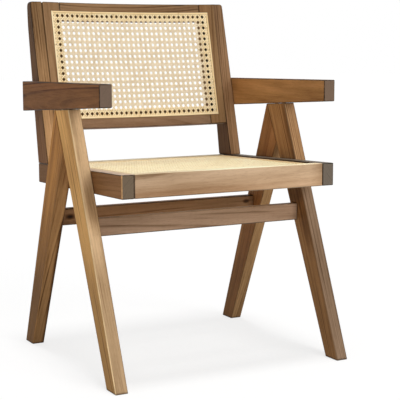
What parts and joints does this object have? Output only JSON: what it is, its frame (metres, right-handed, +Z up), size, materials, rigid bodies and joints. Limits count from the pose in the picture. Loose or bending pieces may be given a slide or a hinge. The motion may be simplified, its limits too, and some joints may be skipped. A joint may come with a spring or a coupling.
{
  "type": "dining armchair",
  "caption": "Wooden dining armchair with A-shaped leg frames, flat board armrests, a cane seat and a bowed cane back panel.",
  "frame": {"origin": "on the floor, under the middle of the chair's overall box", "axes": "+X to the right seen from the front, the front faces -Y, +Z up"},
  "size_m": [0.562, 0.536, 0.79],
  "materials": {
    "arm_wood": "dark oiled wood, open straight and cathedral grain",
    "leg_wood": "honey-brown oiled wood, straight grain along each board",
    "rail_wood": "light brown oiled wood, straight grain",
    "back_wood": "mid-brown oiled wood, straight grain",
    "dowel_wood": "plain light wood, not oiled",
    "cane": "natural woven cane, satin",
    "reed": "natural reed, satin",
    "steel": "plain steel screw heads"
  },
  "bodies": {
    "root": {"back_cane": "cane", "back_panel_bottom_rail": "back_wood", "back_panel_left_stile": "back_wood", "back_panel_right_stile": "back_wood", "back_panel_top_rail": "back_wood", "back_reed": "reed", "front_left_corner_block": "dowel_wood", "front_right_corner_block": "dowel_wood", "front_seat_rail": "rail_wood", "front_stretcher": "rail_wood", "left_arm_leg_dowel_front": "dowel_wood", "left_arm_leg_dowel_rear": "dowel_wood", "left_arm_post_dowel_high": "dowel_wood", "left_arm_post_dowel_low": "dowel_wood", "left_armrest": "arm_wood", "left_back_post": "back_wood", "left_front_leg": "leg_wood", "left_front_leg_bolt_front": "steel", "left_front_leg_bolt_rear": "steel", "left_leg_dowel": "dowel_wood", "left_panel_dowel_high": "dowel_wood", "left_panel_dowel_low": "dowel_wood", "left_post_dowel_front": "dowel_wood", "left_post_dowel_rear": "dowel_wood", "left_rear_leg": "leg_wood", "left_rear_leg_bolt_front": "steel", "left_rear_leg_bolt_rear": "steel", "left_seat_rail": "rail_wood", "rear_left_corner_block": "dowel_wood", "rear_right_corner_block": "dowel_wood", "rear_seat_rail": "rail_wood", "rear_stretcher": "rail_wood", "right_arm_leg_dowel_front": "dowel_wood", "right_arm_leg_dowel_rear": "dowel_wood", "right_arm_post_dowel_high": "dowel_wood", "right_arm_post_dowel_low": "dowel_wood", "right_armrest": "arm_wood", "right_back_post": "back_wood", "right_front_leg": "leg_wood", "right_front_leg_bolt_front": "steel", "right_front_leg_bolt_rear": "steel", "right_leg_dowel": "dowel_wood", "right_panel_dowel_high": "dowel_wood", "right_panel_dowel_low": "dowel_wood", "right_post_dowel_front": "dowel_wood", "right_post_dowel_rear": "dowel_wood", "right_rear_leg": "leg_wood", "right_rear_leg_bolt_front": "steel", "right_rear_leg_bolt_rear": "steel", "right_seat_rail": "rail_wood", "seat_cane": "cane", "seat_frame_front_rail": "rail_wood", "seat_frame_left_stile": "rail_wood", "seat_frame_rear_rail": "rail_wood", "seat_frame_right_stile": "rail_wood", "seat_reed": "reed"}
  },
  "joints": []
}
